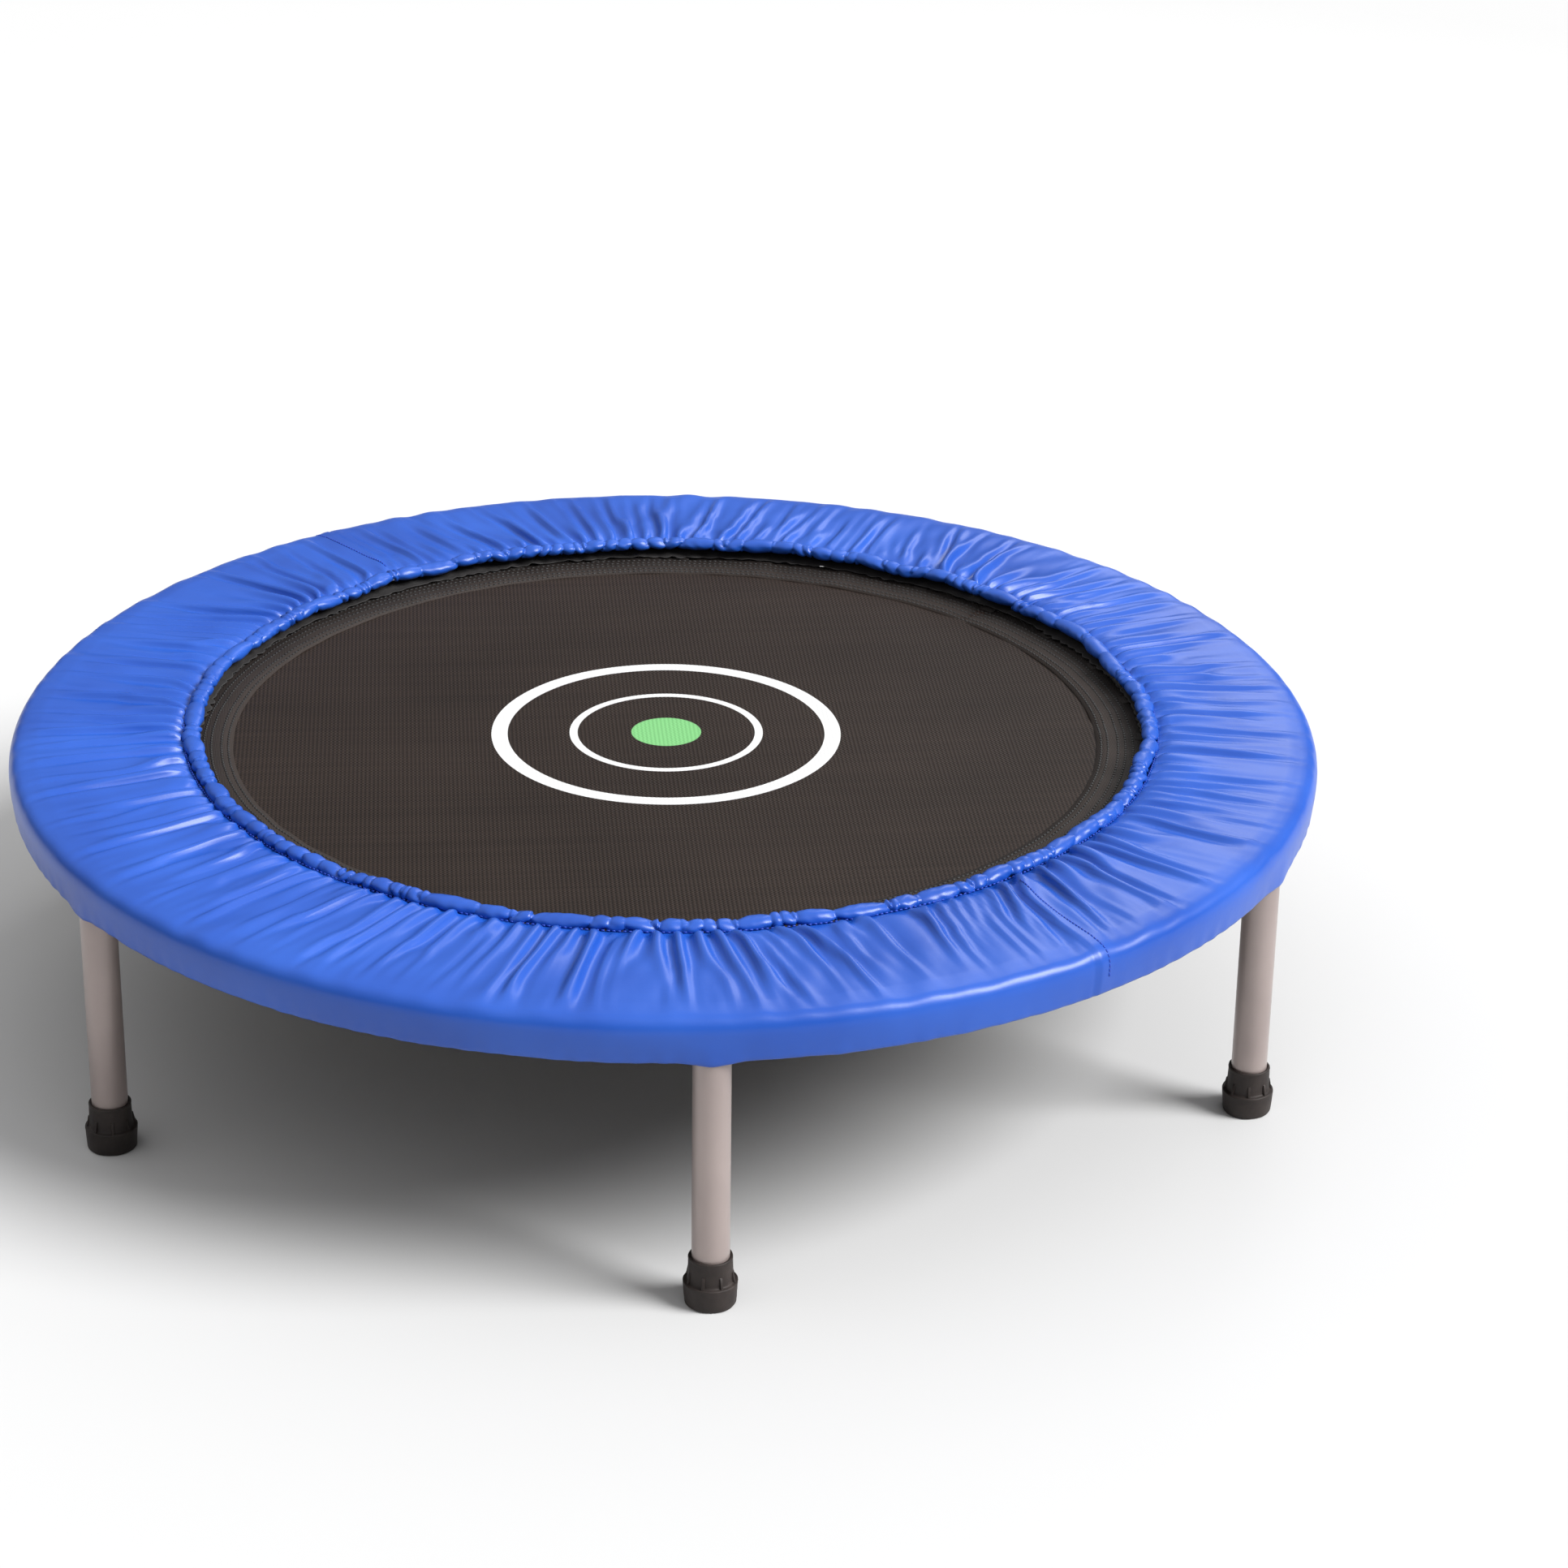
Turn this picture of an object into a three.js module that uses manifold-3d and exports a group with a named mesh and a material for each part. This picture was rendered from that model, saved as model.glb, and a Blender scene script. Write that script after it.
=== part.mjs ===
// Mini trampoline (rebounder): a round welded steel tube frame on six screw-in legs with rubber
// feet, a woven mat hung on thirty-two extension springs, and a gathered fabric pad over the
// springs and frame.
// Millimetres, +Z up. The origin is on the floor at the centre of the ring. Leg 1 stands on -Y.
import * as THREE from "three";
import { mergeVertices } from "three/addons/utils/BufferGeometryUtils.js";
import Module from "manifold-3d";

const wasm = await Module();
wasm.setup();

// ---- Driving dimensions: _R is a radius, _Z a height above the floor ----
const OVERALL_D = 965.2; // 38 in over the pad
const OVERALL_H = 215.9; // 8.5 in, floor to the top of the pad

const TUBE_R = 12.7; // 1 in frame tube
const TUBE_WALL = 1.2;
const RING_R = 468; // centreline of the frame tube
const RING_Z = 199.3;

const N_LEGS = 6;
const LEG_START_DEG = -90;
const LEG_CIRCLE_R = 467.6;

const N_SPRINGS = 32;
const SPRING_Z = 205; // plane of the mat and springs
const MAT_R = 352;
const WEB_R = 361; // outside of the folded edge webbing
const VRING_R = 371; // outer bar of the V-rings

// Segments round each full turn
const RING_SEG = 48; // frame ring, mat and webbing
const PAD_SEG = 96; // pad cover and elastics: every leg sits on a vertex
const INNER_SEG = 48; // hidden foam and backing rings
const LEG_SEG = 14; // leg tubes and feet
const STUD_SEG = 8; // studs, bosses and bores
const COIL_SEG = 6;
const WIRE_SEG = 4;

// ---- Placing ----
const rad = (degrees) => (degrees * Math.PI) / 180;
const legDeg = (i) => LEG_START_DEG + (360 / N_LEGS) * i;
const springDeg = (i) => (360 / N_SPRINGS) * (i + 0.5) + LEG_START_DEG;
const turnZ = (degrees) => new THREE.Matrix4().makeRotationZ(rad(degrees));
const moved = (x, y, z) => new THREE.Matrix4().makeTranslation(x, y, z);

// ---- Profiles: lists of [r, z] ----
function rectangle(innerR, outerR, bottomZ, topZ) {
  return [[innerR, bottomZ], [outerR, bottomZ], [outerR, topZ], [innerR, topZ]];
}

// A regular polygon; phase turns it by that fraction of one side.
function circle(centreR, centreZ, radius, sides, phase = 0) {
  return Array.from({ length: sides }, (_, k) => {
    const angle = (2 * Math.PI * (k + phase)) / sides;
    return [centreR + radius * Math.cos(angle), centreZ + radius * Math.sin(angle)];
  });
}

// ---- Solids ----
// A closed mesh as a manifold-3d solid, for cutting and joining.
function solid(geometry, matrix) {
  if (matrix) geometry.applyMatrix4(matrix);
  // Positions alone, so that vertices split only by their normals or UVs merge.
  const bare = new THREE.BufferGeometry();
  bare.setAttribute("position", geometry.attributes.position);
  bare.setIndex(geometry.index);
  const merged = mergeVertices(bare, 1e-4);
  return new wasm.Manifold(
    new wasm.Mesh({
      numProp: 3,
      vertProperties: new Float32Array(merged.attributes.position.array),
      triVerts: new Uint32Array(merged.index.array),
    }),
  );
}

function geometryOf(shape) {
  const { vertProperties, triVerts } = shape.getMesh();
  const geometry = new THREE.BufferGeometry();
  const position = new THREE.BufferAttribute(new Float32Array(vertProperties), 3);
  geometry.setAttribute("position", position);
  geometry.setIndex(new THREE.BufferAttribute(new Uint32Array(triVerts), 1));
  geometry.computeVertexNormals();
  return geometry;
}

// A profile turned about +Z, either closed on itself or starting and ending on the axis.
function turned(profile, segments, closed = true) {
  const lathe = (points) => {
    const outline = points.map(([r, z]) => new THREE.Vector2(r, z));
    if (closed) outline.push(outline[0].clone());
    // The lathe turns about +Y from +Z: stand it up on +Z with a vertex on +X.
    const geometry = new THREE.LatheGeometry(outline, segments);
    return solid(geometry.rotateX(Math.PI / 2).rotateZ(Math.PI / 2));
  };
  const shape = lathe(profile);
  // A profile listed the other way round comes out inside out.
  return shape.volume() < 0 ? lathe([...profile].reverse()) : shape;
}

// A wire along a smooth curve, capped at both ends.
// Points are [outwards from the axis, sideways, up from the spring plane].
function wire(points, radius, steps) {
  const section = circle(0, 0, radius, WIRE_SEG, 0.5).map(([x, y]) => new THREE.Vector2(x, y));
  const path = points.map(([x, y, up]) => new THREE.Vector3(x, y, SPRING_Z + up));
  return solid(
    new THREE.ExtrudeGeometry(new THREE.Shape(section), {
      steps,
      bevelEnabled: false,
      extrudePath: new THREE.CatmullRomCurve3(path, false, "centripetal"),
    }),
  );
}

// ---- Materials ----
const material = (options) => new THREE.MeshStandardMaterial({ metalness: 0, ...options });
const steelGrey = material({ color: 0x8f8583, roughness: 0.42, metalness: 0.55 });
const zinc = material({ color: 0xb9bbbd, roughness: 0.35, metalness: 0.9 });
const blackRubber = material({ color: 0x2b2726, roughness: 0.85 });
const matWeave = material({ color: 0x3b3433, roughness: 0.7 });
const webbing = material({ color: 0x1c1918, roughness: 0.8 });
const blueFabric = material({ color: 0x1f55d8, roughness: 0.38 });
const blackFabric = material({ color: 0x151312, roughness: 0.7 });
const foamGrey = material({ color: 0xe4e4e0, roughness: 0.9 });
const elasticWhite = material({ color: 0xdad7d0, roughness: 0.9 });

// ---- Group ----
const trampoline = new THREE.Group();
trampoline.name = "mini_trampoline";

function add(name, geometry, finish, parent = trampoline) {
  const mesh = new THREE.Mesh(geometry, finish);
  mesh.name = name;
  parent.add(mesh);
}

function addTurnedGroup(degrees) {
  const group = new THREE.Group();
  group.rotation.z = rad(degrees);
  trampoline.add(group);
  return group;
}

// ---- Frame ring: hollow tube bent to a circle, with six welded bosses and the hook slots ----
const BOSS_R = 10; // threaded boss welded into the frame tube over each leg
const BOSS_BORE_R = 6.9;
const BOSS_BOTTOM_Z = 183.6;
const BOSS_TOP_Z = 192;
const BORE_BOTTOM_Z = BOSS_BOTTOM_Z - 1;
const BORE_TOP_Z = BOSS_BOTTOM_Z + 13;
const SLOT_MID_R = 455; // hook slot through the inner wall of the tube
const SLOT_DEPTH = 10;
const SLOT_W = 4.6;
const SLOT_H = 6.6;

// An upright cylinder on the axis of leg i.
function cylinderOverLeg(i, radius, bottomZ, topZ) {
  const matrix = turnZ(legDeg(i))
    .multiply(moved(LEG_CIRCLE_R, 0, (topZ + bottomZ) / 2))
    .multiply(new THREE.Matrix4().makeRotationX(Math.PI / 2));
  return solid(new THREE.CylinderGeometry(radius, radius, topZ - bottomZ, STUD_SEG), matrix);
}

function frameRing() {
  let frame = turned(circle(RING_R, RING_Z, TUBE_R, 12), RING_SEG);
  let hollow = turned(circle(RING_R, RING_Z, TUBE_R - TUBE_WALL, 8), RING_SEG);
  // The bosses are kept out of the hollow, so that cutting it leaves them whole.
  for (let i = 0; i < N_LEGS; i++) {
    const boss = cylinderOverLeg(i, BOSS_R, BOSS_BOTTOM_Z, BOSS_TOP_Z);
    frame = frame.add(boss);
    hollow = hollow.subtract(boss);
  }
  frame = frame.subtract(hollow);
  for (let i = 0; i < N_LEGS; i++) {
    frame = frame.subtract(cylinderOverLeg(i, BOSS_BORE_R, BORE_BOTTOM_Z, BORE_TOP_Z));
  }
  for (let i = 0; i < N_SPRINGS; i++) {
    const matrix = turnZ(springDeg(i)).multiply(moved(SLOT_MID_R, 0, SPRING_Z));
    frame = frame.subtract(solid(new THREE.BoxGeometry(SLOT_DEPTH, SLOT_W, SLOT_H), matrix));
  }
  return geometryOf(frame);
}
add("frame_ring", frameRing(), steelGrey);

// ---- Legs, plugs with studs, and rubber feet ----
const FOOT_H = 35.6;
const FOOT_FLOOR = 7.5; // thickness of rubber under the leg
const LEG_R = 12.7; // 1 in leg tube
const LEG_WALL = 1.25;
const LEG_BOTTOM_Z = FOOT_FLOOR + 0.3;
const LEG_TOP_Z = BOSS_BOTTOM_Z - 0.4;
const FOOT_BORE_R = LEG_R + 0.2;
const PLUG_R = 10.8;
const PLUG_BOTTOM_Z = 174;
const PLUG_TOP_Z = LEG_TOP_Z - 0.2;
const STUD_R = 6; // M12 stud on the leg's top plug
const STUD_TOP_Z = 196;
const STUD_CHAMFER = 1;

function legTube() {
  const profile = rectangle(LEG_R - LEG_WALL, LEG_R, LEG_BOTTOM_Z, LEG_TOP_Z);
  return geometryOf(turned(profile, LEG_SEG));
}

function legStud() {
  const profile = [
    [0, PLUG_BOTTOM_Z], [PLUG_R, PLUG_BOTTOM_Z], [PLUG_R, PLUG_TOP_Z], [STUD_R, PLUG_TOP_Z],
    [STUD_R, STUD_TOP_Z - STUD_CHAMFER], [STUD_R - STUD_CHAMFER, STUD_TOP_Z], [0, STUD_TOP_Z],
  ];
  return geometryOf(turned(profile, STUD_SEG, false));
}

// A cup with a wide base and a narrower sleeve round the leg.
function rubberFoot() {
  const profile = [
    [0, 0], [16.6, 0], [17.4, 1.4], [18.2, 16.6], [15.6, 17.6], [14.7, FOOT_H],
    [FOOT_BORE_R, FOOT_H], [FOOT_BORE_R, FOOT_FLOOR], [0, FOOT_FLOOR],
  ];
  return geometryOf(turned(profile, LEG_SEG, false));
}

const legParts = [
  ["leg_tube", legTube(), steelGrey],
  ["leg_stud", legStud(), zinc],
  ["rubber_foot", rubberFoot(), blackRubber],
];
for (let i = 0; i < N_LEGS; i++) {
  const legAxis = new THREE.Group();
  legAxis.position.set(LEG_CIRCLE_R, 0, 0);
  addTurnedGroup(legDeg(i)).add(legAxis);
  for (const [name, geometry, finish] of legParts) {
    add(`${name}_${i + 1}`, geometry, finish, legAxis);
  }
}

// ---- Springs: close-wound body, drawn as a solid barrel, with a hook at each end ----
const COIL_R = 5.1; // outside of the coils
const COIL_START_R = 382; // end of the coils towards the mat
const COIL_END_R = 449; // end of the coils towards the frame
const HOOK_WIRE_R = 1.05;
const HOOK_OVERLAP = 0.6; // how far a hook starts inside the barrel

// Passes through the frame slot and turns down behind the wall, where the spring pivots.
const OUTER_HOOK = [
  [COIL_END_R - HOOK_OVERLAP, 0, 3.2], [454, 0, 2.1], [458.8, 0, 0.2],
  [461.6, 0, -2.6], [462.2, 0, -6],
];
// Goes over the bar of the mat's V-ring and back under it, with room for the bar to draw away
// by the spring's stretch as the mat sinks.
const INNER_HOOK = [
  [COIL_START_R + HOOK_OVERLAP, 0, 3.2], [VRING_R + 3, 0, 3.9], [VRING_R - 3, 0, 3.7],
  [VRING_R - 6.2, 0, 2], [VRING_R - 7, 0, 0], [VRING_R - 6.2, 0, -2],
  [VRING_R - 3, 0, -3.8], [VRING_R + 2, 0, -4],
];

function springGeometry() {
  const halfLength = (COIL_END_R - COIL_START_R) / 2;
  const upright = turned(rectangle(0, COIL_R, -halfLength, halfLength), COIL_SEG, false);
  const laidOutwards = moved((COIL_START_R + COIL_END_R) / 2, 0, SPRING_Z)
    .multiply(new THREE.Matrix4().makeRotationY(Math.PI / 2));
  return geometryOf(
    upright
      .transform(laidOutwards.elements)
      .add(wire(OUTER_HOOK, HOOK_WIRE_R, 5))
      .add(wire(INNER_HOOK, HOOK_WIRE_R, 9)),
  );
}

const spring = springGeometry();
for (let i = 0; i < N_SPRINGS; i++) {
  const name = `spring_${String(i + 1).padStart(2, "0")}`;
  add(name, spring, zinc, addTurnedGroup(springDeg(i)));
}

// ---- Jumping mat, and its folded edge webbing with the V-rings ----
const MAT_T = 1.2;
const WEB_IN_R = 318;
const WEB_HALF_T = 1.8; // half the thickness over both folds
const FOLD_HALF_GAP = 1; // half the gap between the folds, which takes the mat
const FOLD_R = MAT_R + 0.5;
const VRING_WIRE_R = 1.6;
const VRING_PATH = [
  [WEB_R - 3, -9.5, 0], [VRING_R - 2, -5.6, 0], [VRING_R, -3, 0],
  [VRING_R, 3, 0], [VRING_R - 2, 5.6, 0], [WEB_R - 3, 9.5, 0],
];

function jumpMat() {
  const profile = rectangle(0, MAT_R, SPRING_Z - MAT_T / 2, SPRING_Z + MAT_T / 2);
  return geometryOf(turned(profile, RING_SEG, false));
}

function matEdge() {
  const profile = [
    [WEB_IN_R, SPRING_Z - WEB_HALF_T], [WEB_R, SPRING_Z - WEB_HALF_T],
    [WEB_R, SPRING_Z + WEB_HALF_T], [WEB_IN_R, SPRING_Z + WEB_HALF_T],
    [WEB_IN_R, SPRING_Z + FOLD_HALF_GAP], [FOLD_R, SPRING_Z + FOLD_HALF_GAP],
    [FOLD_R, SPRING_Z - FOLD_HALF_GAP], [WEB_IN_R, SPRING_Z - FOLD_HALF_GAP],
  ];
  let edge = turned(profile, RING_SEG);
  const vRing = wire(VRING_PATH, VRING_WIRE_R, 7);
  for (let i = 0; i < N_SPRINGS; i++) {
    edge = edge.add(vRing.transform(turnZ(springDeg(i)).elements));
  }
  return geometryOf(edge);
}
add("jump_mat", jumpMat(), matWeave);
add("mat_edge_webbing", matEdge(), webbing);

// ---- Pad: gathered cover with a skirt, thin foam, backing cloth and two elastics ----
const PAD_R = OVERALL_D / 2;
const SKIRT_Z = 183; // lower edge of the skirt
const SKIRT_IN_R = PAD_R - 0.8;
const SKIRT_ELASTIC_R = SKIRT_IN_R - 0.4; // outside of the elastic
const SKIRT_ELASTIC_T = 0.5;
const SKIRT_ELASTIC_Z = SKIRT_Z + 0.6;
const SKIRT_ELASTIC_H = 5;

// [r, z] up the skirt, inwards over the top, round the inner hem and back out underneath.
const COVER_PROFILE = [
  [SKIRT_IN_R, SKIRT_Z], [PAD_R, SKIRT_Z], [PAD_R, 209], [479.4, 213.6], [420, 214.8],
  [362, OVERALL_H], [350, OVERALL_H], [345.6, 211.8], [347.4, 208.4], [350.6, 208],
  [348.4, 211.8], [351.4, 214.6], [354.6, 211.8], [352.6, 208], [356.6, 208.8],
  [360, 214.9], [420, 213.8], [478.9, 212.6], [SKIRT_IN_R, 208.8],
];
// [r, z] flat underneath, rising towards the inner edge on top.
const FOAM_PROFILE = [[364, 211.4], [448, 211.4], [448, 212.6], [364, 213.9]];
const BACKING_PROFILE = rectangle(361, 451, 210.6, 211);
const INNER_ELASTIC_PROFILE = circle(351.5, 211.6, 2.2, 4);
const SKIRT_ELASTIC_PROFILE = rectangle(
  SKIRT_ELASTIC_R - SKIRT_ELASTIC_T,
  SKIRT_ELASTIC_R,
  SKIRT_ELASTIC_Z,
  SKIRT_ELASTIC_Z + SKIRT_ELASTIC_H,
);

const padParts = [
  ["pad_cover", COVER_PROFILE, PAD_SEG, blueFabric],
  ["pad_foam", FOAM_PROFILE, INNER_SEG, foamGrey],
  ["pad_backing", BACKING_PROFILE, INNER_SEG, blackFabric],
  ["inner_elastic", INNER_ELASTIC_PROFILE, PAD_SEG, elasticWhite],
  ["skirt_elastic", SKIRT_ELASTIC_PROFILE, PAD_SEG, elasticWhite],
];
for (const [name, profile, segments, finish] of padParts) {
  add(name, geometryOf(turned(profile, segments)), finish);
}

export default trampoline;
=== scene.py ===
"""A small round trampoline with a gathered blue pad.

It stands on the floor at z 0, centred on the vertical axis, with leg 1 towards -Y and the
others every 60 degrees anticlockwise. Shapes are in millimetres, turned into metres when
a mesh is made. Materials, lights and camera are in metres.
"""

import math

import bpy
import numpy as np
from mathutils import Matrix, Vector


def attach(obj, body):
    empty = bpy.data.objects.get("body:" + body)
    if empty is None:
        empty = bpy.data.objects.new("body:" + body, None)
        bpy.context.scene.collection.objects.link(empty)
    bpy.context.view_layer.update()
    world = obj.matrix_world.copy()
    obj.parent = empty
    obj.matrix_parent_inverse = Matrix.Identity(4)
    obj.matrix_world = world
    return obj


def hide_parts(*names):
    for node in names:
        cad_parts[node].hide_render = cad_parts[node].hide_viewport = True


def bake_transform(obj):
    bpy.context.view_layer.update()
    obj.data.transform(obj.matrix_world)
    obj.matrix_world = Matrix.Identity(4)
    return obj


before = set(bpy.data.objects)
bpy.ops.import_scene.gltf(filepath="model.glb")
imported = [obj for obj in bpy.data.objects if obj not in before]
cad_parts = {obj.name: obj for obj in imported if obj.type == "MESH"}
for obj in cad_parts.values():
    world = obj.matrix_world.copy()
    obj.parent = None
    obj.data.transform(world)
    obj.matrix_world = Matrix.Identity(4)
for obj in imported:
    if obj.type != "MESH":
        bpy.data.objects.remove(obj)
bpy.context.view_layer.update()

MM = 0.001
TAU = 2 * math.pi

LEG_ANGLES = [-90 + 60 * i for i in range(6)]  # degrees
LEG_RADIUS = 467.6  # trampoline axis to leg axis
LEG_AXIS = [LEG_RADIUS, 0, 0]

SPRING_COUNT = 32
SPRING_PITCH = 360 / SPRING_COUNT  # degrees
SPRING_ANGLES = [SPRING_PITCH * (i + 0.5) - 90 for i in range(SPRING_COUNT)]
SPRING_Z = 205.0

FRAME_RADIUS = 468.0
FRAME_Z = 199.3
FRAME_TUBE_RADIUS = 12.7


# ---------------------------------------------------------------- mesh helpers
# A mesh is a pair (vertices in mm, faces as index lists).
def mesh_object(name, mesh, material):
    verts, faces = mesh
    data = bpy.data.meshes.new(name)
    data.from_pydata((np.asarray(verts, float) * MM).tolist(), [], faces)
    data.update()
    shade_smooth(data)
    data.materials.append(material)
    obj = bpy.data.objects.new(name, data)
    bpy.context.scene.collection.objects.link(obj)
    return obj


def shade_smooth(data):
    data.polygons.foreach_set("use_smooth", [True] * len(data.polygons))


def solidify(obj, thickness, offset):
    """Thickens a sheet and applies the modifier; offset -1 grows it inwards, 1 outwards."""
    modifier = obj.modifiers.new("thickness", "SOLIDIFY")
    modifier.thickness = thickness * MM
    modifier.offset = offset
    depsgraph = bpy.context.evaluated_depsgraph_get()
    data = bpy.data.meshes.new_from_object(obj.evaluated_get(depsgraph))
    obj.modifiers.clear()
    obj.data = data
    shade_smooth(data)


def register(obj, body, replaces=None):
    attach(obj, body)
    if replaces:
        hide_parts(replaces)


def grid_faces(rows, columns, wrap_rows=True, wrap_columns=False):
    """Faces of a grid whose vertex (i, j) has index i * columns + j."""
    faces = []
    for i in range(rows if wrap_rows else rows - 1):
        here, there = i * columns, (i + 1) % rows * columns
        for j in range(columns if wrap_columns else columns - 1):
            k = (j + 1) % columns
            faces.append([here + j, there + j, there + k, here + k])
    return faces


def around(count):
    """Even angles round a full turn, in radians."""
    return np.arange(count) * TAU / count


def polar(radius, angle, height):
    """Points from cylindrical coordinates that broadcast together."""
    x, y = radius * np.cos(angle), radius * np.sin(angle)
    return np.stack(np.broadcast_arrays(x, y, height), -1)


def lathe(profile, segments):
    """Turns (radius, z) points about the leg axis; an end near radius 0 becomes a fan."""
    profile = np.array(profile, float)
    ends = profile[[0, -1]]
    capped = [bool(radius < 0.02) for radius in ends[:, 0]]
    profile = profile[int(capped[0]) : len(profile) - int(capped[1])]
    rows = len(profile)
    verts = polar(profile[:, 0], around(segments)[:, None], profile[:, 1]).reshape(-1, 3)
    verts = verts + LEG_AXIS
    faces = grid_faces(segments, rows)
    for end in (0, 1):
        if not capped[end]:
            continue
        tip = len(verts)
        verts = np.concatenate([verts, [[LEG_RADIUS, 0, ends[end, 1]]]])
        row = end * (rows - 1)
        for i in range(segments):
            here, there = i * rows + row, (i + 1) % segments * rows + row
            faces.append([tip, here, there] if end else [tip, there, here])
    return verts, faces


def rounded(points, radius, steps=3):
    """Rounds the inner corners of a 2-D polyline."""
    out = [points[0]]
    for before, corner, after in zip(points, points[1:], points[2:]):
        before, corner, after = (np.array(p, float) for p in (before, corner, after))
        length_in = np.linalg.norm(corner - before)
        length_out = np.linalg.norm(after - corner)
        cut = min(radius, length_in * 0.45, length_out * 0.45)
        start = corner + (before - corner) / max(length_in, 1e-9) * cut
        end = corner + (after - corner) / max(length_out, 1e-9) * cut
        for k in range(steps + 1):
            s = k / steps
            out.append(tuple((1 - s) ** 2 * start + 2 * s * (1 - s) * corner + s * s * end))
    out.append(points[-1])
    return out


def sweep(path, radius, sides, closed=False):
    """Round wire along a 3-D path, with capped ends if open."""
    path = np.asarray(path, float)
    count = len(path)
    if closed:
        tangents = np.roll(path, -1, 0) - np.roll(path, 1, 0)
    else:
        tangents = np.gradient(path, axis=0)
    tangents /= np.linalg.norm(tangents, axis=1)[:, None]
    # carry one side direction along the path so that the wire doesn't twist
    side = np.cross(tangents[0], [0.31, 0.17, 0.93])
    side /= np.linalg.norm(side)
    side_dirs = []
    for tangent in tangents:
        side = side - tangent * (side @ tangent)
        side /= np.linalg.norm(side)
        side_dirs.append(side.copy())
    side_dirs = np.array(side_dirs)
    up_dirs = np.cross(tangents, side_dirs)
    angle = around(sides)[None, :, None]
    verts = path[:, None] + radius * (
        side_dirs[:, None] * np.cos(angle) + up_dirs[:, None] * np.sin(angle)
    )
    faces = grid_faces(count, sides, closed, True)
    if not closed:
        faces.append(list(range(sides))[::-1])
        faces.append([(count - 1) * sides + k for k in range(sides)])
    return verts.reshape(-1, 3), faces


def joined(meshes):
    """Several meshes as one."""
    all_verts, all_faces, offset = [], [], 0
    for verts, faces in meshes:
        all_verts.append(np.asarray(verts, float))
        all_faces += [[i + offset for i in face] for face in faces]
        offset += len(verts)
    return np.concatenate(all_verts), all_faces


def turned(mesh, degrees):
    """The mesh turned about the vertical axis."""
    verts, faces = mesh
    c, s = math.cos(math.radians(degrees)), math.sin(math.radians(degrees))
    verts = np.asarray(verts, float).copy()
    x, y = verts[:, 0].copy(), verts[:, 1].copy()
    verts[:, 0], verts[:, 1] = c * x - s * y, s * x + c * y
    return verts, faces


def stitch(radius, height, length, half_width, inset, sink, rise):
    """A raised thread lying round the ring where it crosses +X; its ends sink in."""
    half = length / 2
    verts = []
    for y, half_w, z in (
        (-half, half_width, height - sink),
        (-half + inset, half_width * 0.7, height + rise),
        (half - inset, half_width * 0.7, height + rise),
        (half, half_width, height - sink),
    ):
        verts += [[radius - half_w, y, z], [radius + half_w, y, z]]
    faces = [[0, 1, 3, 2], [2, 3, 5, 4], [4, 5, 7, 6], [0, 2, 4, 6], [1, 7, 5, 3], [0, 6, 7, 1]]
    return verts, faces


def noise_ring(angle, seed, waves, fade=0.5):
    """Smooth noise round a ring, about -1..1.

    waves is the fewest and most waves per turn; fade is how fast the amplitude falls.
    """
    random = np.random.RandomState(seed)
    k = np.arange(waves[0], waves[1] + 1)
    amplitude = random.randn(len(k)) / k**fade
    phase = random.rand(len(k)) * TAU
    out = (amplitude[:, None] * np.cos(k[:, None] * angle.ravel()[None] + phase[:, None])).sum(0)
    return out.reshape(angle.shape) / (np.sqrt((amplitude**2).sum() / 2) * 1.8)


def smoothstep(start, end, x):
    t = np.clip((x - start) / (end - start), 0, 1)
    return t * t * (3 - 2 * t)


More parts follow.
